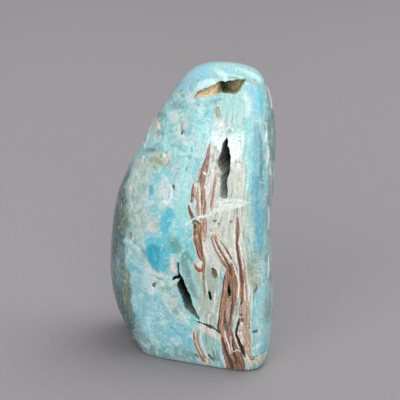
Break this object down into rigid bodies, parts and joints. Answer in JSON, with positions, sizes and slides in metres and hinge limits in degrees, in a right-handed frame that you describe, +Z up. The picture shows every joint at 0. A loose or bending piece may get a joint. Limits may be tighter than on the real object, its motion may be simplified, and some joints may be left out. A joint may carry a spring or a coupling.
{
  "type": "blue aragonite freeform",
  "caption": "Polished free-standing blue aragonite: a leaning, rounded teardrop with a flat base, natural slits and pits, and brown banding on turquoise.",
  "frame": {"origin": "middle of the object's box, on the plane of the flat base that it stands on", "axes": "+Z up along the stone's height; the broad face with the slits looks along -Y, turned about 20 degrees to -X"},
  "size_m": [0.0584, 0.051, 0.105],
  "materials": {
    "stone": "high polish over pale turquoise stone with brown and cream bands; dull inside the slits and pits"
  },
  "bodies": {
    "root": {"stone": "stone"}
  },
  "joints": []
}
